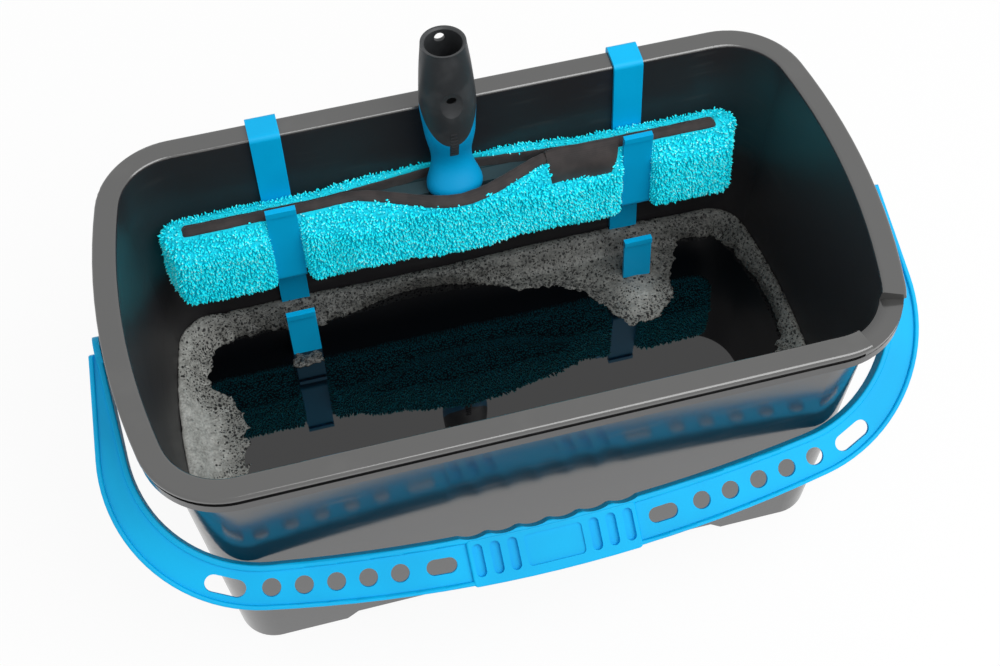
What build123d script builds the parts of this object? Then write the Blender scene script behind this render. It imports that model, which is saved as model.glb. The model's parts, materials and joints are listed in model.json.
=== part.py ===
from build123d import *
import os
from math import acos, atan, atan2, cos, degrees, radians, sin, sqrt

# Window cleaning bucket with a bail handle, two side clips and a T-bar washer parked in them.
# Millimetres, +Z up, +X along the bucket, +Y to the back. The origin is on the floor under its centre.

# Tub
bucket_height = 284.0
rim_length = 545.0
rim_width = 300.0
rim_bow_radius = 490.0
rim_corner_radius = 59.0
rim_overhang = 13.7
base_length = 479.0
base_width = 233.0
base_bow_radius = 460.0
base_corner_radius = 28.0
wall = 3.0
floor_thickness = 3.5
floor_radius = 12.0

# Rim
flange_thickness = 4.0
flange_edge_radius = 2.4
flange_inner_radius = 2.4
skirt_depth = 17.0
skirt_inset = 1.0
skirt_thickness = 3.2
groove_height = 5.5
groove_depth = 2.0

# Pouring corner, a lowered and sloping stretch of the front right corner of the rim
spout_angle = 50.0
spout_middle = -48.0
spout_drop = 5.6
spout_slope_drop = 3.0
spout_lip_inset = 0.2
spout_end_wall = 3.0
spout_thickness = 5.0

# Feet
foot_height = 12.0
foot_length = 86.0
foot_depth = 62.0
foot_end_slope = 11.0
foot_sole_radius = 2.5

# Pivot ears
pivot_depth = 28.0
pin_radius = 5.0
pin_length = 10.0
pin_clearance = 0.05
pin_end_gap = 0.5
ear_half_width = 17.0
ear_proud = 0.5
ear_drop = 17.0
ear_corner_radius = 6.0

# Bail handle, drawn flat as a bow and then leaned forward from hanging straight down
bail_rest_angle = 51.5
bail_side_gap = 2.1
finger_gap = 16.0
bail_wall_gap = 1.25
bail_grip_width = 35.8
bail_inner_grip_radius = 1300.0
bail_inner_corner_radius = 92.0
bail_outer_grip_radius = 1050.0
bail_outer_corner_radius = 112.0
bail_width_at_corner = 21.4
bail_width_at_pivot = 8.8
bail_rib_height = 20.0
rib_taper_start = 50.0
rib_taper_end = 120.0
bail_inner_rib = 4.4
bail_outer_rib = 3.4
bail_outer_rib_height = 12.0
bail_web_recess = 2.6
bail_web_thickness = 3.2
bail_edge_radius = 1.4
eye_radius = 11.4

# Openings and relief along the bail
hole_radius = 6.6
hole_pitch = 22.1
hole_count = 5
first_hole_x = 110.8
inner_slot_x = 81.4
inner_slot_length = 22.0
inner_slot_width = 11.5
outer_slot_turn = 27.0
outer_slot_length = 29.0
outer_slot_width = 12.5
grip_half_length = 62.0
grip_swell = 1.2
grip_proud = 0.4
grip_corner_radius = 3.0
grip_plate_thickness = 6.0
relief_count = 3
relief_pitch = 12.6
first_relief_x = 29.8
relief_width = 7.4
relief_height = 24.0
relief_depth = 3.6
panel_length = 42.0
panel_height = 23.0
panel_depth = 1.6
finger_count = 6
finger_pitch = 22.0
finger_radius = 24.0
finger_depth = 2.0

# Side clips, bent strips of one width
clip_centre = 136.0
clip_width = 22.4
clip_strip = 3.0
clip_clearance = 0.3
clip_bend_radius = 5.0
hook_bend_radius = 2.8
clip_hook_drop = 20.0
upper_hook_depth = 122.0
upper_hook_reach = 32.0
lower_hook_depth = 228.0
lower_hook_reach = 43.0
clip_leg_height = 80.0
lip_height = 5.0
lip_thickness = 1.6

# Washer, leaning back with the wall in the upper hooks
washer_shift = -4.0
seat_gap = 0.3
sleeve_length = 446.0
sleeve_height = 66.0
sleeve_side_gap = 0.35
sleeve_bottom_radius = 9.0
sleeve_top_radius = 4.0
bulge_half_length = 100.0
bulge_front = 34.0
bulge_back = 15.6
bulge_bottom = 12.0
eye_half_length = 88.0
eye_front = 25.5
eye_back = 13.1
slit_half_width = 3.2
slit_end_margin = 17.0
lining_gap = 0.3
binding_thickness = 1.6
binding_depth = 9.0
binding_proud = 1.0
label_length = 61.0
label_height = 26.0
label_thickness = 1.0
label_start = 61.0

# T-bar
bar_length = 424.0
bar_height = 42.0
bar_thickness = 13.0
bar_bottom = 10.0
bar_edge_radius = 3.0
tenon_length = 22.0
tenon_thickness = 11.0
tenon_height = 20.0
fit_gap = 0.15

# Washer handle
handle_length = 142.0
foot_width = 42.5
foot_thickness = 33.0
foot_forward = 5.0
foot_edge_height = 7.0
foot_rounding = 5.0
neck_height = 24.0
neck_width = 31.7
neck_thickness = 23.0
body_height = 86.0
body_width = 41.5
body_thickness = 34.0
mouth_diameter = 32.5
grip_layer = 2.6
core_top = 114.0
socket_radius = 13.5
socket_depth = 62.0
socket_lining = 1.3
mouth_lead = 1.2
grip_edge_middle = 92.0
grip_edge_drop = 39.5
tongue_half_width = 3.4
tongue_end = 39.0
tongue_corner = 1.0
dish_height = 95.5
dish_ball_radius = 34.0
dish_depth = 2.4
lock_hole_height = 98.5
lock_hole_radius = 3.8
back_hole_depth = 8.0
thumb_rib_count = 8
thumb_rib_pitch = 3.3
thumb_rib_height = 1.5
thumb_rib_proud = 0.7
screw_spacing = 12.0
screw_radius = 2.0
screw_head_radius = 3.6
screw_head_height = 2.6
screw_bite = 30.0

# Worked out from the values above
rim_half_length = rim_length / 2
wall_top_half_width = rim_width / 2 - rim_overhang
wall_slope = (wall_top_half_width - base_width / 2) / bucket_height
floor_top = foot_height + floor_thickness
pivot_z = bucket_height - pivot_depth
ear_face = rim_half_length - skirt_inset + ear_proud
ear_top = pivot_depth - flange_thickness / 2
wall_top_half_length = rim_half_length - rim_overhang
wall_end_slope = (wall_top_half_length - base_length / 2) / bucket_height
ear_depth = ear_face - wall_top_half_length + wall_end_slope * (pivot_depth + ear_drop) + wall / 2
lean = atan(wall_slope)
rest = radians(bail_rest_angle)
bail_arm_x = rim_half_length + bail_side_gap
wall_at_pivot = base_width / 2 + wall_slope * pivot_z
bail_inner_apex = (wall_at_pivot + finger_gap) / (sin(rest) + wall_slope * cos(rest))
bail_outer_apex = bail_inner_apex + bail_grip_width


def outline(length, width, bow_radius, corner_radius, inset=0.0):
    """Face with straight long sides, bowed ends and rounded corners."""
    half_length = length / 2 - inset
    half_width = width / 2 - inset
    bow = bow_radius - inset
    corner_x = half_length - bow + sqrt(bow**2 - half_width**2)
    with BuildSketch() as face:
        with BuildLine():
            Line((-corner_x, half_width), (corner_x, half_width))
            ThreePointArc((corner_x, half_width), (half_length, 0), (corner_x, -half_width))
            Line((corner_x, -half_width), (-corner_x, -half_width))
            ThreePointArc((-corner_x, -half_width), (-half_length, 0), (-corner_x, half_width))
        make_face()
        fillet(face.vertices(), corner_radius - inset)
    return face.sketch


def rim_outline(inset=0.0):
    return outline(rim_length, rim_width, rim_bow_radius, rim_corner_radius, inset)


def base_outline(inset=0.0):
    return outline(base_length, base_width, base_bow_radius, base_corner_radius, inset)


def inner_wall_y(z):
    """Inside face of the back wall at a height."""
    return wall_top_half_width - wall - wall_slope * (bucket_height - z)


# Inside of the tub
with BuildPart() as hollow:
    with BuildSketch():
        add(base_outline(wall))
    with BuildSketch(Plane.XY.offset(bucket_height)):
        add(rim_outline(rim_overhang + wall))
    loft(ruled=True)
    split(bisect_by=Plane.XY.offset(floor_top), keep=Keep.TOP)
    fillet(hollow.edges().group_by(Axis.Z)[0], floor_radius)

# The pouring corner turns about the centre of the rim's front right corner
spout_centre_y = -(rim_width / 2 - rim_corner_radius)
bow_centre_x = rim_half_length - rim_bow_radius
spout_centre_x = bow_centre_x + sqrt((rim_bow_radius - rim_corner_radius) ** 2 - spout_centre_y**2)
spout_start = radians(spout_middle - spout_angle / 2)
spout_axis = Axis((spout_centre_x, spout_centre_y, 0), (0, 0, 1))
spout_inner = rim_corner_radius - rim_overhang - wall
spout_outer = rim_corner_radius - skirt_inset
spout_outer_z = bucket_height - spout_drop
spout_inner_z = spout_outer_z - spout_slope_drop
spout_end_turn = spout_end_wall / spout_inner


def spout_section(turn):
    """Upright plane through the pouring corner's axis."""
    return Plane(
        origin=(spout_centre_x, spout_centre_y, 0),
        x_dir=(cos(turn), sin(turn), 0),
        z_dir=(sin(turn), -cos(turn), 0),
    )


with BuildPart() as bucket_tub:
    # Tapered body from the floor to the rim
    with BuildSketch():
        add(base_outline())
    with BuildSketch(Plane.XY.offset(bucket_height)):
        add(rim_outline(rim_overhang))
    loft(ruled=True)
    # Raised underside between the corner feet
    underside_half_length = base_length / 2 - foot_length
    underside_half_width = base_width / 2 - foot_depth
    for plane, half_gap, run in (
        (Plane.XZ, underside_half_length, base_width),
        (Plane.YZ, underside_half_width, base_length),
    ):
        with BuildSketch(plane):
            with BuildLine():
                Polyline(
                    (-half_gap, 0),
                    (half_gap, 0),
                    (half_gap - foot_end_slope, foot_height),
                    (foot_end_slope - half_gap, foot_height),
                    close=True,
                )
            make_face()
        extrude(amount=run, both=True, mode=Mode.SUBTRACT)
    fillet(bucket_tub.edges().group_by(Axis.Z)[0], foot_sole_radius)
    # Rolled rim: flat flange, groove and hanging skirt
    with BuildSketch(Plane.XY.offset(bucket_height)):
        add(rim_outline())
        add(rim_outline(rim_overhang + wall / 2), mode=Mode.SUBTRACT)
    extrude(amount=-flange_thickness)
    with BuildSketch(Plane.XY.offset(bucket_height - skirt_depth)):
        add(rim_outline(skirt_inset))
        add(rim_outline(skirt_inset + skirt_thickness), mode=Mode.SUBTRACT)
    extrude(amount=skirt_depth - flange_thickness)
    with BuildSketch(Plane.XY.offset(bucket_height - flange_thickness)):
        add(rim_outline())
        add(rim_outline(skirt_inset + groove_depth), mode=Mode.SUBTRACT)
    extrude(amount=-groove_height, mode=Mode.SUBTRACT)
    fillet(bucket_tub.edges().group_by(Axis.Z)[-1], flange_edge_radius)
    # Pivot ears under the rim at both ends
    for side in (-1, 1):
        ear_plane = Plane(origin=(side * ear_face, 0, pivot_z), x_dir=(0, side, 0), z_dir=(side, 0, 0))
        with BuildSketch(ear_plane):
            with Locations((0, (ear_top - ear_drop) / 2)):
                RectangleRounded(2 * ear_half_width, ear_top + ear_drop, ear_corner_radius)
        extrude(amount=-ear_depth)
        with BuildSketch(ear_plane):
            Circle(pin_radius + pin_clearance)
        extrude(amount=-pin_length, mode=Mode.SUBTRACT)
    add(hollow.part, mode=Mode.SUBTRACT)
    rim_top_face = bucket_tub.faces().sort_by(Axis.Z)[-1]
    fillet(rim_top_face.inner_wires()[0].edges(), flange_inner_radius)
    # Pouring corner: extra depth under the flange, closed at both ends, then the lowered slope
    with BuildSketch(spout_section(spout_start - spout_end_turn)):
        with BuildLine():
            Polyline(
                (spout_inner + wall / 2, bucket_height - flange_thickness / 2),
                (spout_outer - spout_lip_inset, bucket_height - flange_thickness / 2),
                (spout_outer - spout_lip_inset, spout_outer_z - spout_thickness),
                (spout_inner + wall / 2, spout_inner_z - spout_thickness),
                close=True,
            )
        make_face()
    revolve(axis=spout_axis, revolution_arc=spout_angle + 2 * degrees(spout_end_turn))
    with BuildSketch(spout_section(spout_start)):
        with BuildLine():
            Polyline(
                (spout_inner - wall, spout_inner_z),
                (spout_inner, spout_inner_z),
                (spout_outer, spout_outer_z),
                (rim_corner_radius + wall, spout_outer_z),
                (rim_corner_radius + wall, bucket_height + wall),
                (spout_inner - wall, bucket_height + wall),
                close=True,
            )
        make_face()
    revolve(axis=spout_axis, revolution_arc=spout_angle, mode=Mode.SUBTRACT)

# Bail handle, in a plane through the pivots whose normal points down and towards the tub
bail_plane = Plane(origin=(0, 0, pivot_z), x_dir=(1, 0, 0), z_dir=(0, cos(rest), -sin(rest)))
bail_axis = Axis(bail_plane.origin, bail_plane.z_dir)
bail_top = -bail_rib_height / 2
web_top = bail_top + bail_web_recess
grip_top = bail_top - grip_proud


def bow_face(apex, grip_radius, corner_radius, arm_x, foot_x):
    """Bow filled down to the pivot line: slanted arms, round corners and a shallow arched grip."""
    corner_x = arm_x - corner_radius
    grip_centre = apex - grip_radius
    corner_s = grip_centre + sqrt((grip_radius - corner_radius) ** 2 - corner_x**2)
    turn = atan2(corner_x, corner_s - grip_centre)
    grip_end = (grip_radius * sin(turn), grip_centre + grip_radius * cos(turn))
    reach = sqrt((foot_x - corner_x) ** 2 + corner_s**2)
    arm_turn = atan2(-corner_s, foot_x - corner_x) + acos(corner_radius / reach)
    middle_turn = (arm_turn + radians(90) - turn) / 2
    arm_end = (corner_x + corner_radius * cos(arm_turn), corner_s + corner_radius * sin(arm_turn))
    corner_mid = (
        corner_x + corner_radius * cos(middle_turn),
        corner_s + corner_radius * sin(middle_turn),
    )
    with BuildSketch() as face:
        with BuildLine():
            Line((-foot_x, 0), (foot_x, 0))
            for side in (-1, 1):
                Line((side * foot_x, 0), (side * arm_end[0], arm_end[1]))
                ThreePointArc(
                    (side * arm_end[0], arm_end[1]),
                    (side * corner_mid[0], corner_mid[1]),
                    (side * grip_end[0], grip_end[1]),
                )
            ThreePointArc((-grip_end[0], grip_end[1]), (0, apex), grip_end)
        make_face()
    return face.sketch


def inner_bow(grow=0.0):
    return bow_face(
        bail_inner_apex + grow,
        bail_inner_grip_radius + grow,
        bail_inner_corner_radius + grow,
        bail_arm_x + grow,
        bail_arm_x + grow,
    )


def outer_bow(grow=0.0):
    return bow_face(
        bail_outer_apex + grow,
        bail_outer_grip_radius + grow,
        bail_outer_corner_radius + grow,
        bail_arm_x + bail_width_at_corner + grow,
        bail_arm_x + bail_width_at_pivot + grow,
    )


def ring(outside, inside):
    """Band between two bows."""
    with BuildSketch() as band:
        add(outside)
        add(inside, mode=Mode.SUBTRACT)
    return band.sketch


def bail_middle(x):
    """Middle line of the bail's band over the grip."""
    apex = (bail_inner_apex + bail_outer_apex) / 2
    radius = (bail_inner_grip_radius + bail_outer_grip_radius) / 2
    return apex - x**2 / (2 * radius)


# The bail leans on the front wall where the wall's straight stretch ends, so that sets its rib there
inner_corner_x = bail_arm_x - bail_inner_corner_radius
inner_corner_s = (
    bail_inner_apex
    - bail_inner_grip_radius
    + sqrt((bail_inner_grip_radius - bail_inner_corner_radius) ** 2 - inner_corner_x**2)
)
rest_s = inner_corner_s + sqrt(bail_inner_corner_radius**2 - (spout_centre_x - inner_corner_x) ** 2)
rest_room = rest_s * (sin(rest) + wall_slope * cos(rest)) - wall_at_pivot - bail_wall_gap
grip_rib_bottom = rest_room / (cos(rest) - wall_slope * sin(rest))


def rounded_top(face, top, thickness):
    """Piece of the bail under a flat top, with rounded upper edges."""
    with BuildPart() as piece:
        with BuildSketch(bail_plane.offset(top)):
            add(face)
        extrude(amount=thickness)
        fillet(piece.edges().group_by(bail_axis)[0], bail_edge_radius)
    return piece.part


with BuildSketch() as grip_face:
    add(ring(outer_bow(grip_swell), inner_bow(bail_inner_rib / 2)))
    with Locations((0, bail_inner_apex)):
        Rectangle(2 * grip_half_length, bail_inner_apex, mode=Mode.INTERSECT)
    fillet(grip_face.vertices(), grip_corner_radius)

with BuildPart() as bail_handle:
    # Deep inner rib, tapering towards the grip
    add(rounded_top(ring(inner_bow(bail_inner_rib), inner_bow()), bail_top, bail_rib_height))
    with BuildSketch(Plane(origin=(0, 0, pivot_z), x_dir=bail_plane.y_dir, z_dir=(1, 0, 0))):
        with BuildLine():
            Polyline(
                (rib_taper_start, -bail_top),
                (rib_taper_end, grip_rib_bottom),
                (bail_outer_apex, grip_rib_bottom),
                (bail_outer_apex, -bail_top),
                close=True,
            )
        make_face()
    extrude(amount=bail_arm_x + bail_width_at_corner, both=True, mode=Mode.SUBTRACT)
    # Thin web, lower outer rib and grip plate
    with BuildSketch(bail_plane.offset(web_top)):
        add(ring(outer_bow(-bail_outer_rib / 2), inner_bow(bail_inner_rib / 2)))
    extrude(amount=bail_web_thickness)
    add(rounded_top(ring(outer_bow(), outer_bow(-bail_outer_rib)), bail_top, bail_outer_rib_height))
    add(rounded_top(grip_face.sketch, grip_top, grip_plate_thickness))
    # Round holes and slots
    with BuildSketch(bail_plane.offset(bail_top)):
        for side in (-1, 1):
            for index in range(hole_count):
                hole_x = first_hole_x + index * hole_pitch
                with Locations((side * hole_x, bail_middle(hole_x))):
                    Circle(hole_radius)
            inner_turn = degrees(atan(inner_slot_x * 2 / (bail_inner_grip_radius + bail_outer_grip_radius)))
            with Locations(Location((side * inner_slot_x, bail_middle(inner_slot_x)), -side * inner_turn)):
                SlotOverall(inner_slot_length, inner_slot_width)
    extrude(amount=bail_web_recess + 2 * bail_web_thickness, mode=Mode.SUBTRACT)
    corner_radius = (bail_inner_corner_radius + bail_outer_corner_radius) / 2
    corner_x = bail_arm_x + bail_width_at_corner / 2 - corner_radius
    corner_s = bail_middle(corner_x) - corner_radius
    slot_x = corner_x + corner_radius * sin(radians(outer_slot_turn))
    slot_s = corner_s + corner_radius * cos(radians(outer_slot_turn))
    with BuildSketch(bail_plane.offset(bail_top)):
        for side in (-1, 1):
            with Locations(Location((side * slot_x, slot_s), -side * outer_slot_turn)):
                SlotOverall(outer_slot_length, outer_slot_width)
    extrude(amount=bail_web_recess + 2 * bail_web_thickness, mode=Mode.SUBTRACT)
    # Blind relief slots and the bare panel between them
    with BuildSketch(bail_plane.offset(grip_top)):
        for side in (-1, 1):
            for index in range(relief_count):
                relief_x = first_relief_x + index * relief_pitch
                with Locations(Location((side * relief_x, bail_middle(relief_x)), 90)):
                    SlotOverall(relief_height, relief_width)
    extrude(amount=relief_depth, mode=Mode.SUBTRACT)
    with BuildSketch(bail_plane.offset(grip_top)):
        with Locations((0, bail_middle(0))):
            RectangleRounded(panel_length, panel_height, panel_depth * 2)
    extrude(amount=panel_depth, mode=Mode.SUBTRACT)
    # Finger waves along the inner edge of the grip
    with BuildSketch(bail_plane.offset(grip_top)):
        for index in range(finger_count):
            finger_x = (index - (finger_count - 1) / 2) * finger_pitch
            finger_edge = bail_inner_apex - finger_x**2 / (2 * bail_inner_grip_radius)
            with Locations((finger_x, finger_edge + finger_depth - finger_radius)):
                Circle(finger_radius)
    extrude(amount=bail_rib_height, mode=Mode.SUBTRACT)
    # Round eyes and pivot stubs at the ends of the inner rib
    for side in (-1, 1):
        eye_plane = Plane(origin=(side * bail_arm_x, 0, pivot_z), x_dir=(0, 1, 0), z_dir=(side, 0, 0))
        with BuildSketch(eye_plane):
            Circle(eye_radius)
        extrude(amount=bail_inner_rib)
        with BuildSketch(eye_plane):
            Circle(pin_radius)
        extrude(amount=-(bail_arm_x - ear_face + pin_length - pin_end_gap))

# Side clips: one strip over the rim and down the wall, with an upper and a lower hook
strip_middle = clip_clearance + clip_strip / 2


def strip_y(z):
    return inner_wall_y(z) - strip_middle


def leg_y(z, reach):
    return inner_wall_y(z) - reach + clip_strip / 2


def side_clip(centre_x):
    rim_top = bucket_height + strip_middle
    hook_y = rim_width / 2 + strip_middle
    upper_z = bucket_height - upper_hook_depth + clip_strip / 2
    lower_z = bucket_height - lower_hook_depth + clip_strip / 2
    upper_tip = upper_z - clip_strip / 2 + clip_leg_height
    lower_tip = lower_z - clip_strip / 2 + clip_leg_height
    lip_width = clip_strip / 2 + lip_thickness
    with BuildPart() as clip:
        with BuildSketch(Plane.YZ.offset(centre_x - clip_width / 2)):
            with BuildLine() as strip:
                FilletPolyline(
                    (hook_y, bucket_height - clip_hook_drop),
                    (hook_y, rim_top),
                    (strip_y(rim_top), rim_top),
                    (strip_y(lower_z), lower_z),
                    (leg_y(lower_z, lower_hook_reach), lower_z),
                    (leg_y(lower_tip, lower_hook_reach), lower_tip),
                    radius=(hook_bend_radius, hook_bend_radius, clip_bend_radius, clip_bend_radius),
                )
            trace(strip.wires()[0], clip_strip)
            with BuildLine() as hook:
                FilletPolyline(
                    (strip_y(upper_z), upper_z),
                    (leg_y(upper_z, upper_hook_reach), upper_z),
                    (leg_y(upper_tip, upper_hook_reach), upper_tip),
                    radius=clip_bend_radius,
                )
            trace(hook.wires()[0], clip_strip)
            for tip, reach in ((upper_tip, upper_hook_reach), (lower_tip, lower_hook_reach)):
                lip_z = tip - lip_height / 2
                lip_y = leg_y(lip_z, reach) - lip_width / 2
                with Locations(Location((lip_y, lip_z), -degrees(lean))):
                    Rectangle(lip_width, lip_height)
        extrude(amount=clip_width)
    return clip


left_side_clip = side_clip(-clip_centre)
right_side_clip = side_clip(clip_centre)

# Washer frame: at the middle of the sleeve's bottom, leaning back with the wall
seat_z = bucket_height - upper_hook_depth + clip_strip + seat_gap
hook_gap = upper_hook_reach - 2 * clip_strip - clip_clearance
sleeve_thickness = hook_gap - 2 * sleeve_side_gap
washer_y = inner_wall_y(seat_z) - clip_clearance - clip_strip - hook_gap / 2
washer_plane = Plane(
    origin=(washer_shift, washer_y, seat_z),
    x_dir=(1, 0, 0),
    z_dir=(0, sin(lean), cos(lean)),
)
washer_axis = Axis(washer_plane.origin, washer_plane.z_dir)
bar_top = bar_bottom + bar_height

# T-bar with a tenon for the handle foot
with BuildPart() as washer_bar:
    with BuildSketch(washer_plane.offset(bar_bottom)):
        SlotOverall(bar_length, bar_thickness)
    extrude(amount=bar_height)
    fillet(washer_bar.edges().group_by(washer_axis)[0], bar_edge_radius)
    with BuildSketch(washer_plane.offset(bar_top)):
        Rectangle(tenon_length, tenon_thickness)
    extrude(amount=tenon_height)
    with BuildSketch(washer_plane.offset(bar_bottom)):
        with GridLocations(screw_spacing, 0, 2, 1):
            Circle(screw_head_radius + fit_gap)
    extrude(amount=screw_head_height, mode=Mode.SUBTRACT)
    with BuildSketch(washer_plane.offset(bar_bottom)):
        with GridLocations(screw_spacing, 0, 2, 1):
            Circle(screw_radius + fit_gap)
    extrude(amount=bar_height + tenon_height, mode=Mode.SUBTRACT)

# Handle form: height above the foot, width, thickness and forward shift of each oval section
handle_sections = [
    (0, foot_width - foot_rounding, foot_thickness - foot_rounding, foot_forward),
    (foot_edge_height, foot_width, foot_thickness, foot_forward),
    (
        (foot_edge_height + neck_height) / 2,
        (foot_width + neck_width) / 2,
        (foot_thickness + neck_thickness) / 2,
        foot_forward / 2,
    ),
]
for third in range(4):
    swell = (1 - cos(radians(60 * third))) / 2
    handle_sections.append(
        (
            neck_height + (body_height - neck_height) * third / 3,
            neck_width + (body_width - neck_width) * swell,
            neck_thickness + (body_thickness - neck_thickness) * swell,
            0.0,
        )
    )
for quarter in range(1, 5):
    taper = (quarter / 4) ** 1.5
    handle_sections.append(
        (
            body_height + (handle_length - body_height) * quarter / 4,
            body_width + (mouth_diameter - body_width) * taper,
            body_thickness + (mouth_diameter - body_thickness) * taper,
            0.0,
        )
    )


def handle_form(inset=0.0):
    """Smooth oval body of the handle, drawn in or out by an inset."""
    with BuildPart() as form:
        for height, width, thickness, forward in handle_sections:
            with BuildSketch(washer_plane.offset(bar_top + height)):
                with Locations((0, -forward)):
                    Ellipse(width / 2 - inset, thickness / 2 - inset)
        loft()
    return form.part


handle_front = Plane(
    origin=washer_plane.from_local_coords(Vector(0, 0, bar_top)),
    x_dir=(1, 0, 0),
    z_dir=-washer_plane.y_dir,
)

# Zone that the soft grip covers, seen from the front: a rounded apron with a tongue
with BuildPart() as grip_zone:
    with BuildSketch(handle_front):
        with Locations((0, grip_edge_middle)):
            Ellipse(body_width / 2 + fit_gap, grip_edge_drop)
        zone_height = handle_length - grip_edge_middle + grip_layer
        with Locations((0, grip_edge_middle + zone_height / 2)):
            Rectangle(body_width + 2 * fit_gap, zone_height)
    extrude(amount=body_thickness, both=True)
    with BuildSketch(handle_front):
        with Locations((0, (tongue_end + grip_edge_middle) / 2)):
            RectangleRounded(2 * tongue_half_width, grip_edge_middle - tongue_end, tongue_corner)
    extrude(amount=body_thickness)

socket_floor = bar_top + handle_length - socket_depth

# Thumb dish with its lock hole at the front, and a second lock hole at the back
with BuildPart() as lock_openings:
    ball_reach = body_thickness / 2 + dish_ball_radius - dish_depth
    with Locations(handle_front.from_local_coords(Vector(0, dish_height, ball_reach))):
        Sphere(dish_ball_radius)
    with BuildSketch(handle_front):
        with Locations((0, lock_hole_height)):
            Circle(lock_hole_radius)
    extrude(amount=body_thickness)
    with BuildSketch(handle_front):
        with Locations((0, handle_length - back_hole_depth)):
            Circle(lock_hole_radius)
    extrude(amount=-body_thickness)

# Hard core of the handle
with BuildPart() as washer_handle:
    add(handle_form())
    add(grip_zone.part, mode=Mode.SUBTRACT)
    add(handle_form(grip_layer))
    split(bisect_by=washer_plane.offset(bar_top + core_top), keep=Keep.BOTTOM)
    with BuildSketch(washer_plane.offset(socket_floor - socket_lining)):
        Circle(socket_radius + socket_lining)
    extrude(amount=handle_length, mode=Mode.SUBTRACT)
    with BuildSketch(washer_plane.offset(bar_top)):
        Rectangle(tenon_length + 2 * fit_gap, tenon_thickness + 2 * fit_gap)
    extrude(amount=tenon_height + fit_gap, mode=Mode.SUBTRACT)
    with BuildSketch(washer_plane.offset(bar_top)):
        with GridLocations(screw_spacing, 0, 2, 1):
            Circle(screw_radius + fit_gap)
    extrude(amount=screw_bite + fit_gap, mode=Mode.SUBTRACT)
    add(lock_openings.part, mode=Mode.SUBTRACT)

# Cross ribs on the tongue under the thumb
with BuildPart() as thumb_ribs:
    add(handle_form(-thumb_rib_proud))
    with BuildSketch(handle_front):
        for index in range(thumb_rib_count):
            with Locations((0, tongue_end + (index + 0.8) * thumb_rib_pitch)):
                Rectangle(2 * tongue_half_width - 2 * tongue_corner, thumb_rib_height)
    extrude(amount=body_thickness, mode=Mode.INTERSECT)

# Soft grip over the core, lining the pole socket
with BuildPart() as handle_grip:
    add(handle_form())
    add(grip_zone.part, mode=Mode.INTERSECT)
    add(thumb_ribs.part)
    with BuildSketch(washer_plane.offset(socket_floor - socket_lining)):
        Circle(socket_radius + socket_lining)
    extrude(amount=socket_depth / 2)
    add(washer_handle.part, mode=Mode.SUBTRACT)
    with BuildSketch(washer_plane.offset(socket_floor)):
        Circle(socket_radius)
    extrude(amount=socket_depth, mode=Mode.SUBTRACT)
    with Locations(washer_plane.offset(bar_top + handle_length - mouth_lead)):
        Cone(
            socket_radius,
            socket_radius + mouth_lead,
            mouth_lead,
            align=(Align.CENTER, Align.CENTER, Align.MIN),
            mode=Mode.SUBTRACT,
        )
    add(lock_openings.part, mode=Mode.SUBTRACT)

with BuildPart() as bar_screws:
    with BuildSketch(washer_plane.offset(bar_bottom)):
        with GridLocations(screw_spacing, 0, 2, 1):
            Circle(screw_head_radius)
    extrude(amount=screw_head_height)
    with BuildSketch(washer_plane.offset(bar_bottom)):
        with GridLocations(screw_spacing, 0, 2, 1):
            Circle(screw_radius)
    extrude(amount=bar_height + screw_bite)

# Edges of the sleeve's slit, which opens to an eye round the handle foot
slit_end = sleeve_length / 2 - slit_end_margin
binding_middle = slit_half_width - fit_gap - binding_thickness / 2


def slit_edge(side, eye_reach):
    """Line along one edge of the slit, swinging out to an eye in the middle."""
    straight = side * binding_middle
    with BuildLine() as edge:
        Line((-slit_end, straight), (-eye_half_length, straight))
        Spline(
            (-eye_half_length, straight),
            (0, side * eye_reach),
            (eye_half_length, straight),
            tangents=((1, 0), (1, 0)),
        )
        Line((eye_half_length, straight), (slit_end, straight))
    return edge.wires()[0]


front_edge = slit_edge(-1, eye_front)
back_edge = slit_edge(1, eye_back)
bulge_rise = bulge_front - sleeve_thickness / 2
bulge_radius = (bulge_half_length**2 + bulge_rise**2) / (2 * bulge_rise)

# Pile tube with a full front over the handle foot
with BuildPart() as sleeve_pile:
    with BuildSketch(washer_plane):
        SlotOverall(sleeve_length, sleeve_thickness)
    extrude(amount=sleeve_height)
    fillet(sleeve_pile.edges().group_by(washer_axis)[0], sleeve_bottom_radius)
    fillet(sleeve_pile.edges().group_by(washer_axis)[-1], sleeve_top_radius)
    with BuildSketch(washer_plane.offset(bulge_bottom)):
        with BuildLine():
            half = sleeve_thickness / 2
            ThreePointArc((-bulge_half_length, -half), (0, -bulge_front), (bulge_half_length, -half))
            Line((bulge_half_length, -half), (bulge_half_length, half))
            ThreePointArc((bulge_half_length, half), (0, bulge_back), (-bulge_half_length, half))
            Line((-bulge_half_length, half), (-bulge_half_length, -half))
        make_face()
    extrude(amount=sleeve_height - bulge_bottom)
    with BuildSketch(washer_plane.offset(bar_bottom - lining_gap)):
        SlotOverall(bar_length + 2 * lining_gap, bar_thickness + 2 * lining_gap)
    extrude(amount=bar_height + 2 * lining_gap, mode=Mode.SUBTRACT)
    with BuildSketch(washer_plane.offset(bar_top)):
        with BuildLine():
            add(front_edge)
            Line(front_edge @ 1, back_edge @ 1)
            add(back_edge)
            Line(back_edge @ 0, front_edge @ 0)
        make_face()
        trace(front_edge, binding_thickness + 2 * fit_gap)
        trace(back_edge, binding_thickness + 2 * fit_gap)
    extrude(amount=sleeve_height, mode=Mode.SUBTRACT)

binding_bottom = sleeve_height + binding_proud - binding_depth

with BuildPart() as sleeve_front_binding:
    with BuildSketch(washer_plane.offset(binding_bottom)):
        trace(front_edge, binding_thickness)
    extrude(amount=binding_depth)

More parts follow.
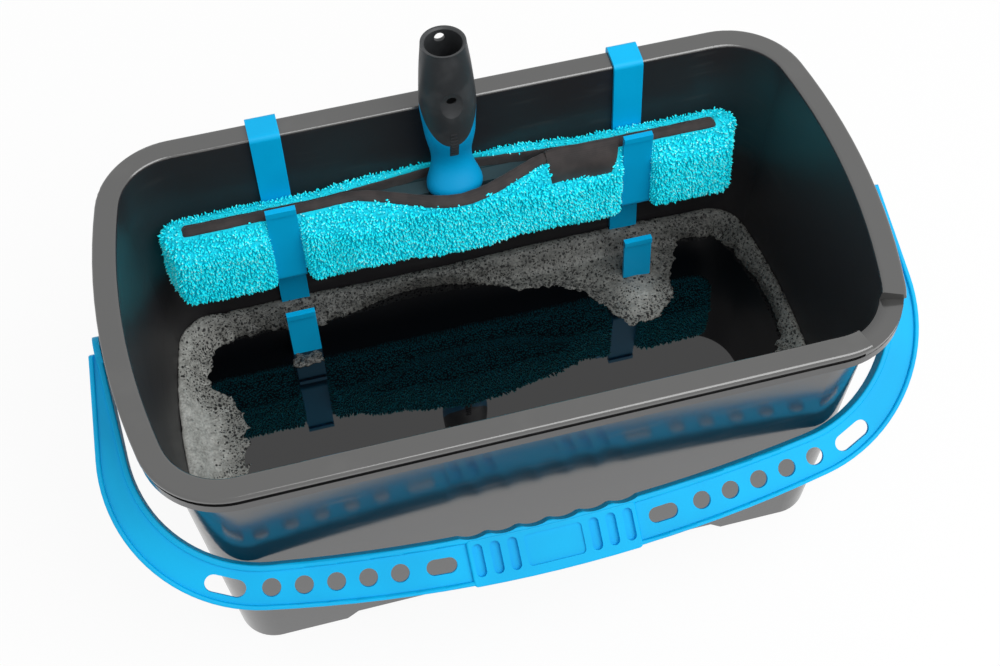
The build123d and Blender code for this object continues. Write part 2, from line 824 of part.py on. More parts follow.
with BuildPart() as sleeve_back_binding:
    with BuildSketch(washer_plane.offset(binding_bottom)):
        trace(back_edge, binding_thickness)
    extrude(amount=binding_depth)

# Flat cloth tag from the full front to the flat front
label_gap = fit_gap + label_thickness / 2
label_start_y = bulge_radius - bulge_front - sqrt(bulge_radius**2 - label_start**2)
with BuildPart() as sleeve_label:
    with BuildSketch(washer_plane.offset(sleeve_height + binding_proud - label_height)):
        with BuildLine() as label_line:
            Line(
                (label_start, label_start_y - label_gap),
                (label_start + label_length, -sleeve_thickness / 2 - label_gap),
            )
        trace(label_line.wires()[0], label_thickness)
    extrude(amount=label_height)

os.makedirs("parts", exist_ok=True)
for name, piece in (
    ("bucket_tub", bucket_tub),
    ("bail_handle", bail_handle),
    ("left_side_clip", left_side_clip),
    ("right_side_clip", right_side_clip),
    ("washer_bar", washer_bar),
    ("washer_handle", washer_handle),
    ("handle_grip", handle_grip),
    ("bar_screws", bar_screws),
    ("sleeve_pile", sleeve_pile),
    ("sleeve_front_binding", sleeve_front_binding),
    ("sleeve_back_binding", sleeve_back_binding),
    ("sleeve_label", sleeve_label),
):
    piece.part.label = name
    export_step(piece.part, f"parts/{name}.step")
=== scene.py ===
# %% [markdown]
# # A window cleaning bucket
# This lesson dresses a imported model: a long black bucket with a blue bail, two blue clips hooked on its
# back rim, and a T-bar washer with a turquoise sleeve parked in the clips. The hard pieces arrive finished
# in shape, so they only need surfaces. The soft pieces, the water and the foam are modelled here.
# Everything is in metres, +Z up, with the bucket's long side along X and its back rim at +Y.

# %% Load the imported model
import json
import math

import bpy
from mathutils import Matrix, Vector
from mathutils.noise import noise_vector, seed_set

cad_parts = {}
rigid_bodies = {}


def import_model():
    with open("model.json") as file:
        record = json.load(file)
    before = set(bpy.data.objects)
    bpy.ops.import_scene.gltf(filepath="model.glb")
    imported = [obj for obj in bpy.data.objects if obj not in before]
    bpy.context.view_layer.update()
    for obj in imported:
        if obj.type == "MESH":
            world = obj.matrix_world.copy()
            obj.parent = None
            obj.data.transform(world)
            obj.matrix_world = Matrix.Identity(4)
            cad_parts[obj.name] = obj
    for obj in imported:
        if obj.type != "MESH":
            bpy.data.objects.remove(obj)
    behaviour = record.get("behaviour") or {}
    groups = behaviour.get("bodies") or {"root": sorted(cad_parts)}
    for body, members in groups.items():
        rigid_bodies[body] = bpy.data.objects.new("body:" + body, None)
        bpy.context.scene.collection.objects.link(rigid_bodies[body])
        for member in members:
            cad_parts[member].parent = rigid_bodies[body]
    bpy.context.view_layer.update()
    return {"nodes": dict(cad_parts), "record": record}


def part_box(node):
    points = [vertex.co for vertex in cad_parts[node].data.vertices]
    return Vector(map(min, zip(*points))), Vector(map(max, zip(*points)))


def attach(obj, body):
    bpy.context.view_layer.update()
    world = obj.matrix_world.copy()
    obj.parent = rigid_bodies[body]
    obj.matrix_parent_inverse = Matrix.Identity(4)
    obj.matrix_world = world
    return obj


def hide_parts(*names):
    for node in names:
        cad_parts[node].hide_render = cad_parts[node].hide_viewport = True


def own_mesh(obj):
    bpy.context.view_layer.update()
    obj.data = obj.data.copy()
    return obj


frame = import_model()
nodes = frame["nodes"]
mm = 0.001
print("pieces in the frame:", len(nodes))

# %% [markdown]
# ## Working by hand, from a script
# An operator acts on whatever is selected, so one small function selects a single piece and forgets the
# rest. Modifiers are added, set and applied in one go, which leaves a plain mesh behind.


# %% Selecting, editing and applying
def pick(piece):
    """Makes a piece the only selected one."""
    bpy.ops.object.select_all(action="DESELECT")
    piece.select_set(True)
    bpy.context.view_layer.objects.active = piece


def edit(piece):
    """Opens a piece in edit mode with all of it selected."""
    pick(piece)
    bpy.ops.object.mode_set(mode="EDIT")
    bpy.ops.mesh.select_mode(type="VERT")
    bpy.ops.mesh.select_all(action="SELECT")


def leave():
    bpy.ops.object.mode_set(mode="OBJECT")


def shape_with(piece, kind, **settings):
    """Adds a modifier, sets it and applies it."""
    pick(piece)
    modifier = piece.modifiers.new(kind, kind)
    for name, value in settings.items():
        setattr(modifier, name, value)
    bpy.ops.object.modifier_apply(modifier=modifier.name)


def new_object(name, data):
    piece = bpy.data.objects.new(name, data)
    bpy.context.scene.collection.objects.link(piece)
    return piece


def copy_mesh(source, name):
    """A new object with its own copy of another object's mesh."""
    return new_object(name, source.data.copy())


def add(primitive, name, **settings):
    """A new primitive, with nothing else selected."""
    bpy.ops.object.select_all(action="DESELECT")
    primitive(**settings)
    piece = bpy.context.object
    piece.name = name
    return piece


merge_distance = 0.01 * mm


def weld(piece):
    """Merges points that lie together and turns all faces outwards."""
    edit(piece)
    bpy.ops.mesh.remove_doubles(threshold=merge_distance)
    bpy.ops.mesh.normals_make_consistent(inside=False)
    leave()


def swell(piece, name, grain, strength, middle, **settings):
    """Pushes a surface in and out by soft random swellings of about this grain."""
    clouds = bpy.data.textures.new(name, "CLOUDS")
    clouds.noise_scale = grain
    settings |= {"texture": clouds, "texture_coords": "GLOBAL", "strength": strength, "mid_level": middle}
    shape_with(piece, "DISPLACE", **settings)


def mark(piece, name, values):
    """Stores one number on each vertex."""
    layer = piece.data.attributes.new(name, "FLOAT", "POINT")
    layer.data.foreach_set("value", values)


def smoothstep(low, high, value):
    """Goes smoothly from 0 at low to 1 at high."""
    share = min(1.0, max(0.0, (value - low) / (high - low)))
    return share * share * (3 - 2 * share)


# %% [markdown]
# ## Shader maths as plain expressions
# A finish is a small calculation: noise, scaled, mixed and fed to a shader. Wiring Math nodes by hand
# hides the sum, so one class wraps a socket and lets Python's own operators add the nodes. The same
# `node` method makes every other node, here and in the scattering of the pile further down. Each finish
# is then a short recipe: a function from coordinates to a shader.


# %% A wire between nodes
class Wire:
    """An output socket that can be used in sums and can make further nodes."""

    def __init__(self, tree, socket=None):
        self.tree = tree
        self.socket = socket

    def node(self, kind, settings=None, sockets=None, out=0):
        made = self.tree.nodes.new(kind)
        for name, value in (settings or {}).items():
            if name == "stops":
                self.fill_ramp(made.color_ramp, value)
            else:
                setattr(made, name, value)
        for name, value in (sockets or {}).items():
            if isinstance(value, Wire):
                self.tree.links.new(value.socket, made.inputs[name])
            else:
                made.inputs[name].default_value = value
        return Wire(self.tree, made.outputs[out] if made.outputs else None)

    @staticmethod
    def fill_ramp(ramp, stops):
        ramp.elements[0].position, ramp.elements[0].color = stops[0]
        ramp.elements[1].position, ramp.elements[1].color = stops[-1]
        for place, colour in stops[1:-1]:
            ramp.elements.new(place).color = colour

    def other(self, name):
        """Another output of the same node."""
        return Wire(self.tree, self.socket.node.outputs[name])

    def maths(self, operation, first, second=0.0):
        return self.node("ShaderNodeMath", {"operation": operation}, {0: first, 1: second})

    def __add__(self, more):
        return self.maths("ADD", self, more)

    def __sub__(self, less):
        return self.maths("SUBTRACT", self, less)

    def __rsub__(self, more):
        return self.maths("SUBTRACT", more, self)

    def __mul__(self, times):
        return self.maths("MULTIPLY", self, times)

    __radd__ = __add__
    __rmul__ = __mul__

    def between(self, low, high):
        """Goes smoothly from 0 at low to 1 at high."""
        return self.node(
            "ShaderNodeMapRange",
            {"interpolation_type": "SMOOTHSTEP"},
            {"Value": self, "From Min": low, "From Max": high},
        )

    def mix(self, first, second):
        """First colour where this value is 0, second where it is 1."""
        return self.node("ShaderNodeMix", {"data_type": "RGBA"}, {0: self, 6: first, 7: second}, out=2)

    def shade(self, first, second):
        """The same for two shaders."""
        return self.node("ShaderNodeMixShader", sockets={0: self, 1: first, 2: second})

    def ramp(self, stops):
        """A colour that follows this value through a list of stops."""
        return self.node("ShaderNodeValToRGB", {"stops": stops}, {"Fac": self})

    def chance(self, kind, sockets, out=0):
        """A random value of its own for each copy in Geometry Nodes."""
        return self.node("FunctionNodeRandomValue", {"data_type": kind}, sockets, out)


def screen(red, green, blue):
    """A colour as it is read off a screen, from 0 to 255, made linear."""
    linear = []
    for part in (red, green, blue):
        share = part / 255
        linear.append(share / 12.92 if share <= 0.04045 else ((share + 0.055) / 1.055) ** 2.4)
    return (*linear, 1.0)


def finish(name, recipe, *colours):
    """A material whose shader a recipe makes, from the object's own coordinates."""
    material = bpy.data.materials.new(name)
    material.use_nodes = True
    material.node_tree.nodes.clear()
    coords = Wire(material.node_tree).node("ShaderNodeTexCoord", out="Object")
    coords.node("ShaderNodeOutputMaterial", sockets={"Surface": recipe(coords, *colours)})
    return material


def noise(coords, size, detail=2.0, squeeze=None):
    """Noise whose patches are about this size, in metres, squeezed along some axes."""
    if squeeze:
        coords = coords.node("ShaderNodeMapping", sockets={"Vector": coords, "Scale": squeeze})
    return coords.node("ShaderNodeTexNoise", sockets={"Vector": coords, "Scale": 1 / size, "Detail": detail})


def stored(coords, name):
    """A number that was stored on the piece's own mesh."""
    return coords.node("ShaderNodeAttribute", {"attribute_name": name}, out="Fac")


def bumps(height, depth, strength=1.0):
    """A raised pattern of this depth, in metres."""
    return height.node("ShaderNodeBump", sockets={"Height": height, "Distance": depth, "Strength": strength})


def principled(coords, sockets):
    return coords.node("ShaderNodeBsdfPrincipled", sockets=sockets)


# %% [markdown]
# ## Hard finishes
# The tub is black polypropylene with a smooth, slightly wavy moulded skin and fine scuffs round the walls:
# glossy outside, dull inside where tools rub it, with a painted sheen that lightens the top of the rim.
# One shader has one gloss, so two are mixed by which way the wall faces. The bail, clips and handle are dyed
# blue right through, with a faint spark-eroded grain; the handle's blue is painted deeper as shade. The grip
# is a soft overmould, so it scatters light and has a stipple. All patterns read the object's own
# coordinates, so they stay put on the piece.


# %% Plastics, rubber and steel
rim_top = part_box("bucket_tub")[1].z
rim_sheen_band = (rim_top - 9.5 * mm, rim_top - 7 * mm)
wall_facing_in = (0.02, 0.06)


def moulded_black(coords):
    scuffs = noise(coords, 6 * mm, 3.0, (0.12, 0.12, 1.0)).between(0.58, 0.78)
    flow = noise(coords, 90 * mm)
    grain = noise(coords, 0.6 * mm, 1.0)
    faces_out = coords.node(
        "ShaderNodeVectorMath",
        {"operation": "DOT_PRODUCT"},
        {0: coords, 1: coords.other("Normal")},
        out="Value",
    )
    inside = (-1 * faces_out).between(*wall_facing_in)
    height = coords.node("ShaderNodeSeparateXYZ", sockets={"Vector": coords}, out="Z")
    # Painted sheen: the outer top of the rim is painted lighter, where it catches the light.
    rim_sheen = height.between(*rim_sheen_band) * (1 - inside)
    relief = bumps(grain + flow * 2.0, 0.015 * mm, 0.5)
    polished = principled(coords, {
        "Base Color": (scuffs * 0.2 + rim_sheen * 0.8).mix(screen(24, 24, 25), screen(72, 72, 71)),
        "Roughness": 0.12 + scuffs * 0.06 + flow * 0.08,
        "IOR": 1.85,
        "Normal": relief,
    })
    rubbed = principled(coords, {
        "Base Color": scuffs.mix(screen(34, 32, 34), screen(44, 43, 44)),
        "Roughness": 0.4 + scuffs * 0.06 + flow * 0.1,
        "IOR": 1.45,
        "Normal": relief,
    })
    return inside.shade(polished, rubbed)


def dyed_blue(coords, deep, pale):
    drift = noise(coords, 60 * mm)
    grain = noise(coords, 0.5 * mm, 1.0)
    return principled(coords, {
        "Base Color": drift.between(0.3, 0.7).mix(deep, pale),
        "Roughness": 0.4 + drift * 0.1,
        "Specular IOR Level": 0.2,
        "Normal": bumps(grain, 0.03 * mm, 0.6),
    })


def soft_grip(coords):
    worn = noise(coords, 14 * mm, 3.0).between(0.4, 0.75)
    stipple = coords.node("ShaderNodeTexVoronoi", sockets={"Vector": coords, "Scale": 1 / (0.55 * mm)})
    return principled(coords, {
        "Base Color": worn.mix(screen(46, 48, 50), screen(58, 60, 62)),
        "Roughness": 0.46 + worn * 0.1,
        "Normal": bumps(stipple, 0.05 * mm, 0.5),
    })


def bar_grey(coords):
    grain = noise(coords, 0.8 * mm)
    return principled(coords, {
        "Base Color": grain.mix(screen(44, 66, 72), screen(60, 84, 90)),
        "Roughness": 0.42 + grain * 0.12,
        "Normal": bumps(grain, 0.03 * mm),
    })


def screw_steel(coords):
    turned = noise(coords, 0.4 * mm, 2.0, (1.0, 1.0, 0.2))
    return principled(coords, {
        "Base Color": turned.mix(screen(150, 150, 153), screen(190, 190, 192)),
        "Metallic": 1.0,
        "Roughness": 0.3 + turned * 0.15,
    })


def dress(material, *names):
    """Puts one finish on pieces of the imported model."""
    for name in names:
        for slot in nodes[name].material_slots:
            slot.material = material
    print(material.name, "on", *names)


sky_blue = finish("sky_blue", dyed_blue, screen(0, 172, 228), screen(0, 182, 238))
# Painted shade: the handle has the bail's blue, painted deeper as if it stood in shade.
shaded_handle_blue = finish("shaded_handle_blue", dyed_blue, screen(0, 150, 206), screen(0, 158, 214))
dress(finish("moulded_black", moulded_black), "bucket_tub")
dress(sky_blue, "bail_handle", "left_side_clip", "right_side_clip")
dress(shaded_handle_blue, "washer_handle")
dress(finish("soft_grip", soft_grip), "handle_grip")
dress(finish("bar_grey", bar_grey), "washer_bar")
dress(finish("screw_steel", screw_steel), "bar_screws")

# %% [markdown]
# ## Where the washer is
# The washer leans back with the wall, so its soft pieces are easier to place in the washer's own
# directions: along the sleeve, across it towards the wall, and up it towards the handle. The mount in
# the handle's socket gives the lean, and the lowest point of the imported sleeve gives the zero.

# %% The washer's own directions
socket = next(mount for mount in frame["record"]["mounts"] if mount["name"] == "pole_socket")
up_sleeve = Vector(socket["axis"])
across_sleeve = Vector((0, up_sleeve.z, -up_sleeve.y))
socket_place = Vector(socket["pos_m"])
sleeve_bottom = min(up_sleeve.dot(v.co - socket_place) for v in nodes["sleeve_pile"].data.vertices)
seat = socket_place + sleeve_bottom * up_sleeve


def to_sleeve(point):
    """Along, across and up the sleeve."""
    offset = point - seat
    return offset.x, offset.dot(across_sleeve), offset.dot(up_sleeve)


def from_sleeve(along, across, up):
    """The point of the bucket at a place on the sleeve."""
    return seat + Vector((along, 0, 0)) + across * across_sleeve + up * up_sleeve


sleeve_top = max(to_sleeve(v.co)[2] for v in nodes["sleeve_pile"].data.vertices)
slit_half_length = (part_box("sleeve_front_binding")[1].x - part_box("sleeve_front_binding")[0].x) / 2
slit_half_width = 2.25 * mm
eye_half_length = 88 * mm
eye_front = 25.5 * mm
eye_back = 13.1 * mm
top_lean = 2.5 * mm
back_drop = 2.0 * mm


def eye_share(along):
    """0 beside the eye in the slit, 1 in its middle."""
    return smoothstep(0, 1, 1 - abs(along) / eye_half_length)


def slit_edge(along, eye_reach):
    """Distance of the slit's edge from the middle, swinging out to the eye round the handle's foot."""
    return slit_half_width + (eye_reach - slit_half_width) * eye_share(along)


def sag(along, across, up):
    """How far the wet sleeve's top leans forwards beside the eye, and how far its back drops."""
    beside_eye = smoothstep(60 * mm, 110 * mm, abs(along))
    at_back = smoothstep(-2 * mm, 6 * mm, across)
    forwards = top_lean * beside_eye * smoothstep(38 * mm, 62 * mm, up)
    down = back_drop * at_back * smoothstep(40 * mm, 60 * mm, up)
    return forwards, down


def from_sagged(along, across, up):
    """The same place on the sleeve once it has sagged."""
    forwards, down = sag(along, across, up)
    return from_sleeve(along, across - forwards, up - down)


print("sleeve stands", round(sleeve_top / mm, 1), "mm high at", [round(c, 4) for c in seat])

# %% [markdown]
# ## The sleeve under its pile
# The sleeve is a knitted tube pulled over the T-bar, slit along the top and covered with a short, dense
# pile. Hair particles would make strands, and this pile is thick twisted loops, so each loop is a small
# mesh. First comes the cloth below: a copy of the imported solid, merged, turned into even small faces by
# a voxel remesh, smoothed, shrunk a little to leave room for the loops, and swollen unevenly.

# %% Cloth body
cloth_voxel = 2.2 * mm
loop_room = 0.9 * mm
sleeve_body = copy_mesh(nodes["sleeve_pile"], "sleeve_body")
edit(sleeve_body)
bpy.ops.mesh.remove_doubles(threshold=merge_distance)
leave()
shape_with(sleeve_body, "REMESH", mode="VOXEL", voxel_size=cloth_voxel, use_smooth_shade=True)
shape_with(sleeve_body, "SMOOTH", factor=0.5, iterations=5)
shape_with(sleeve_body, "DISPLACE", strength=-loop_room, mid_level=0.0)
print("sleeve_body", len(sleeve_body.data.polygons), "faces")

# %% [markdown]
# ## Fullness between the clips
# Wet pile swells wherever nothing holds it: forwards and down, most of all beyond the full middle, while
# each clip and the tag keep a dent in it. The lip of the slit slopes down to the front, which gives the
# binding its bed. The ends are tucked in by the length of a loop, so that the finished pile ends where
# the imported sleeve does.

# %% Swollen front and bottom
clip_spans = [(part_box(name)[0].x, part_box(name)[1].x) for name in ("left_side_clip", "right_side_clip")]
clip_margin = 0.4 * mm
clip_relief = 3 * mm
end_fullness = 11 * mm
bottom_fullness = 5 * mm
lip_slope = 6 * mm
lip_run = 10 * mm
end_tuck = 2.6 * mm
sleeve_half_length = (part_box("sleeve_pile")[1].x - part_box("sleeve_pile")[0].x) / 2


def from_clips(x):
    """Distance along the sleeve to the nearer clip."""
    return min(max(low - x, x - high) for low, high in clip_spans)


for vertex in sleeve_body.data.vertices:
    along, across, up = to_sleeve(vertex.co)
    free = smoothstep(clip_margin, clip_relief, from_clips(vertex.co.x))
    ends = smoothstep(35 * mm, 95 * mm, abs(along))
    front = smoothstep(8.2 * mm, 10.5 * mm, -across) * (1 - smoothstep(46 * mm, 66 * mm, up))
    low = (1 - smoothstep(0, 26 * mm, up)) * (1 - smoothstep(-2 * mm, 8 * mm, across))
    beyond_lip = smoothstep(0, lip_run, -across - slit_edge(along, eye_front))
    at_top = smoothstep(44 * mm, 62 * mm, up)
    vertex.co = from_sagged(
        along * (1 - end_tuck / sleeve_half_length),
        across - end_fullness * ends * free * front,
        up - bottom_fullness * free * low - lip_slope * beyond_lip * at_top,
    )
shape_with(sleeve_body, "SMOOTH", factor=0.5, iterations=4)
swell(sleeve_body, "swellings", grain=22 * mm, strength=2.0 * mm, middle=0.55)
print("front stands", end_fullness / mm, "mm fuller beside the clips")

# %% Dents under the clips and the tag
clip_hold = 11.4 * mm
tag_left = 70 * mm
tag_right_bottom = 119.5 * mm
tag_right_top = 127.5 * mm
tag_foot = 45.5 * mm
tag_bottom_front = 18 * mm
tag_bed = 1.5 * mm
tag_bed_slope = 0.45


def tag_right(up):
    """The tag's slanting right edge."""
    return tag_right_bottom + (tag_right_top - tag_right_bottom) * smoothstep(tag_foot, sleeve_top, up)


for vertex in sleeve_body.data.vertices:
    along, across, up = to_sleeve(vertex.co)
    hold = math.inf
    if from_clips(vertex.co.x) < clip_margin:
        hold = clip_hold
    elif tag_left < along < tag_right(up) and up > tag_foot:
        hold = tag_bottom_front - tag_bed - tag_bed_slope * (up - tag_foot) + sag(along, across, up)[0]
    if -across > hold:
        vertex.co = from_sleeve(along, -hold, up)
sleeve_body.data.update()
print("pressed by the clips to", clip_hold / mm, "mm")

# %% [markdown]
# ## Ends beyond the clips
# The clips can be pushed along the rim, and the full pile beyond them is then pushed together towards the
# ends of the sleeve. So the front half of each end is a piece of its own, cut off a copy of the sleeve
# under its clip. The sleeve runs on inside these ends, pressed as flat as under a clip.

# %% Sleeve ends
under_clip = 2 * mm
end_skin = 0.5 * mm
front_fade = 4 * end_skin
end_cuts = (clip_spans[0][0] + under_clip, clip_spans[1][1] - under_clip)


def beyond_cut(x):
    """Distance past the nearer cut, towards the end of the sleeve."""
    return max(end_cuts[0] - x, x - end_cuts[1])


def cut_end(name, cut_x, outwards):
    """The front half of the sleeve beyond a cut, closed where it is cut."""
    end = copy_mesh(sleeve_body, name)
    edit(end)
    bpy.ops.mesh.bisect(plane_co=(cut_x, 0, 0), plane_no=(outwards, 0, 0), clear_inner=True, use_fill=True)
    bpy.ops.mesh.select_all(action="SELECT")
    bpy.ops.mesh.bisect(plane_co=seat, plane_no=across_sleeve, clear_outer=True, use_fill=True)
    bpy.ops.mesh.select_all(action="SELECT")
    bpy.ops.mesh.normals_make_consistent(inside=False)
    leave()
    print(name, len(end.data.polygons), "faces")
    return end


sleeve_ends = [cut_end("sleeve_end_left", end_cuts[0], -1), cut_end("sleeve_end_right", end_cuts[1], 1)]
normals = [vertex.normal.copy() for vertex in sleeve_body.data.vertices]
for vertex, normal in zip(sleeve_body.data.vertices, normals):
    beyond = beyond_cut(vertex.co.x)
    if beyond > 0:
        in_front = 1 - smoothstep(-end_skin, front_fade, to_sleeve(vertex.co)[1])
        along, across, up = to_sleeve(vertex.co - in_front * min(beyond, end_skin) * normal)
        vertex.co = from_sleeve(along, max(across, -clip_hold), max(up, end_skin))
sleeve_body.data.update()
print("ends cut at", [round(x, 4) for x in end_cuts])

# %% [markdown]
# ## Where the pile grows
# Pile covers the outside only. Inside the slit and round the bar the cloth is bare, and the binding and
# the tag cover what lies under them. The clips press the pile flat, and it is shorter on the narrow strip
# behind the slit. A few numbers on each vertex say all this, with the pile of the middle in four stretches
# to keep each piece small.

# %% Pile masks
bar_half_thickness = 8.2 * mm
bar_zone = (5 * mm, 54 * mm)
bar_half_length = 212 * mm
lip_depth = 46 * mm
lip_margin = 1.5 * mm
front_cover = (4.8 * mm, 6.6 * mm)
back_bare_depth = (0.5 * mm, 2.8 * mm)
slit_colour_depth = 7 * mm
slit_facing = -0.75
binding_depth = 11 * mm
tag_side_margin = 0.5 * mm
tag_foot_margin = 1 * mm
front_side = 5 * mm
clip_press = 0.45
clip_press_reach = 5 * mm
back_strip_depth = 9 * mm
back_strip_pile = 0.75
stretches = ("pile_front_left", "pile_front_right", "pile_back_left", "pile_back_right")


def pile_at(vertex):
    """Whether pile grows at a vertex, how high, and whether the cloth's inside shows there."""
    along, across, up = to_sleeve(vertex.co)
    forwards, down = sag(along, across, up)
    across, up = across + forwards, up + down
    eye = eye_share(along)
    front_lip = -slit_edge(along, eye_front)
    back_lip = slit_edge(along, eye_back)
    cover = front_cover[0] * (1 - eye) + front_cover[1] * eye
    bare_depth = back_bare_depth[0] * (1 - eye) + back_bare_depth[1] * eye
    near_slit = abs(along) < slit_half_length + lip_margin
    near_bar = abs(across) < bar_half_thickness and abs(along) < bar_half_length
    in_cavity = near_bar and bar_zone[0] < up < bar_zone[1]
    faces_slit = across > 0 and vertex.normal.dot(across_sleeve) < slit_facing
    in_slit = (
        near_slit
        and lip_depth < up < sleeve_top - bare_depth
        and (faces_slit or front_lip - lip_margin < across < back_lip + lip_margin)
    )
    under_binding = near_slit and up > sleeve_top - binding_depth and front_lip - cover < across < 0
    behind_tag = tag_left - tag_side_margin < along < tag_right(up) + tag_side_margin
    under_tag = behind_tag and across < -front_side and up > tag_foot + tag_foot_margin
    free = clip_press + (1 - clip_press) * smoothstep(0, clip_press_reach, from_clips(vertex.co.x))
    on_back_strip = across > 0 and up > sleeve_top - back_strip_depth
    return (
        not (in_cavity or in_slit or under_binding or under_tag),
        back_strip_pile if on_back_strip else free,
        in_cavity or (in_slit and up < sleeve_top - slit_colour_depth),
    )


def mark_pile(piece, names, home):
    """Stores the pile of a piece: home gives the stretch at a vertex and the greatest height there."""
    layers = {name: [] for name in (*names, "pile_height", "bare_inside")}
    for vertex in piece.data.vertices:
        grows, height, inside = pile_at(vertex)
        stretch, highest = home(vertex)
        for name in names:
            layers[name].append(float(grows and name == stretch))
        layers["pile_height"].append(min(height, highest))
        layers["bare_inside"].append(float(inside))
    for name, values in layers.items():
        mark(piece, name, values)
    print(piece.name, "has pile on", [int(sum(layers[name])) for name in names], "vertices")


def on_body(vertex):
    """Inside the ends, the body's pile is pressed flat, as under a clip."""
    along, across, up = to_sleeve(vertex.co)
    inside_end = beyond_cut(vertex.co.x) > 0 and across < 0
    return stretches[2 * (across >= 0) + (along >= 0)], clip_press if inside_end else 1.0


def on_end(vertex):
    """No pile grows where an end is cut."""
    on_cut = beyond_cut(vertex.co.x) < merge_distance or to_sleeve(vertex.co)[1] > -merge_distance
    return "" if on_cut else "pile_end", 1.0


mark_pile(sleeve_body, stretches, on_body)
for end in sleeve_ends:
    mark_pile(end, ["pile_end"], on_end)

# %% [markdown]
# ## One loop of pile, and thousands of copies
# A loop is an icosphere of twenty faces, stretched and set on its foot. Geometry Nodes scatter it: points
# with a least distance between them, each loop leaning out of the cloth, drooping a little and turned at
# random, with a size and a tone of its own. Realizing the copies and applying the modifier leaves a
# plain mesh that carries the tone and the height within the loop for the finish to read.


# %% Scattering a small shape over a surface
def scatter(name, ground, template, mask, spacing, sizes, droop, tangle, seed):
    """Copies of a template over the parts of a surface where a mask is 1."""
    piece = copy_mesh(ground, name)
    group = bpy.data.node_groups.new(name, "GeometryNodeTree")
    for way in ("INPUT", "OUTPUT"):
        group.interface.new_socket(name="Geometry", in_out=way, socket_type="NodeSocketGeometry")
    start = Wire(group)
    grows, height = (
        start.node("GeometryNodeInputNamedAttribute", {"data_type": "FLOAT"}, {"Name": layer})
        for layer in (mask, "pile_height")
    )
    points = start.node(
        "GeometryNodeDistributePointsOnFaces",
        {"distribute_method": "POISSON"},
        {
            "Mesh": start.node("NodeGroupInput"),
            "Distance Min": spacing,
            "Density Max": 2 / spacing**2,
            "Density Factor": grows,
            "Seed": seed,
        },
    )
    lowest = (-tangle, -tangle, -tangle - droop)
    highest = (tangle, tangle, tangle - droop)
    jitter = start.chance("FLOAT_VECTOR", {0: lowest, 1: highest, "Seed": seed + 1})
    size = start.chance("FLOAT", {2: sizes[0], 3: sizes[1]}, out=1)
    tone = start.chance("FLOAT", {"Seed": seed + 2}, out=1)
    outwards = points.other("Normal")
    leaning = start.node("ShaderNodeVectorMath", {"operation": "ADD"}, {0: outwards, 1: jitter})
    placed = start.node(
        "GeometryNodeInstanceOnPoints",
        sockets={
            "Points": points,
            "Instance": start.node("GeometryNodeObjectInfo", sockets={"Object": template}, out="Geometry"),
            "Rotation": start.node("FunctionNodeAlignRotationToVector", {"axis": "Z"}, {"Vector": leaning}),
            "Scale": size * height,
        },
    )
    toned = start.node(
        "GeometryNodeStoreNamedAttribute",
        {"data_type": "FLOAT", "domain": "INSTANCE"},
        {"Geometry": placed, "Name": "tone", "Value": tone},
    )
    whole = start.node("GeometryNodeRealizeInstances", sockets={"Geometry": toned})
    start.node("NodeGroupOutput", sockets={"Geometry": whole})
    shape_with(piece, "NODES", node_group=group)
    print(name, len(piece.data.polygons), "faces")
    return piece


# %% The loop and the stretches of pile
loop_half_width = 0.75 * mm
loop_half_length = 2.1 * mm
loop_middle = 0.75 * loop_half_length
pile_loop = add(bpy.ops.mesh.primitive_ico_sphere_add, "pile_loop", subdivisions=1, radius=1.0)
edit(pile_loop)
bpy.ops.transform.resize(value=(loop_half_width, loop_half_width, loop_half_length))
bpy.ops.transform.translate(value=(0, 0, loop_middle))
leave()
bpy.ops.object.shade_smooth()
mark(pile_loop, "tip", [v.co.z / (loop_middle + loop_half_length) for v in pile_loop.data.vertices])
pile_grounds = [(name, sleeve_body, name) for name in stretches]
pile_grounds.append(("pile_end_left", sleeve_ends[0], "pile_end"))
pile_grounds.append(("pile_end_right", sleeve_ends[1], "pile_end"))
loop_look = {"spacing": 1.3 * mm, "sizes": (0.8, 1.25), "droop": 0.7, "tangle": 0.6}
pile = [
    scatter(name, ground, pile_loop, mask, seed=seed, **loop_look)
    for seed, (name, ground, mask) in enumerate(pile_grounds)
]
bpy.data.objects.remove(pile_loop)

# %% [markdown]
# ## Finish of the pile
# Turquoise microfibre is painted pale at the tips, a painted highlight where the loops catch light, and deep
# where they stand close, as painted shade. The tip height and the tone of each loop drive the colour, so the
# depth stays right from every side, and the undersides are painted darker as shade. Light that wanders
# between the fibres is stood for by a painted glow of the same colour. The cloth between the loops has the
# deep colour alone.


# %% Turquoise finishes
# Painted light: the pile and its cloth glow weakly in their own colour.
fibre_glow = 0.21


def painted_shade_below(coords, colour):
    """Painted shade: a colour that turns deep where the surface faces down, as in shade."""
    facing_up = coords.node("ShaderNodeSeparateXYZ", sockets={"Vector": coords.other("Normal")}, out="Z")
    return facing_up.between(-0.8, -0.1).mix(screen(0, 60, 72), colour)


def turquoise_pile(coords):
    tip = stored(coords, "tip")
    tone = stored(coords, "tone")
    damp = noise(coords, 35 * mm).between(0.35, 0.7)
    # Painted highlight and shade: pale tips and deep roots, with a random tone and damp patches.
    light = tip.between(0.1, 1.0) * 0.75 + tone * 0.3 - damp * 0.12
    shades = light.ramp([
        (0.0, screen(0, 165, 190)),
        (0.4, screen(0, 226, 246)),
        (0.75, screen(46, 244, 254)),
        (1.0, screen(180, 252, 255)),
    ])
    colour = painted_shade_below(coords, shades)
    return principled(coords, {
        "Base Color": colour,
        "Roughness": 0.75,
        "Specular IOR Level": 0.2,
        "Emission Color": colour,
        "Emission Strength": fibre_glow,
    })


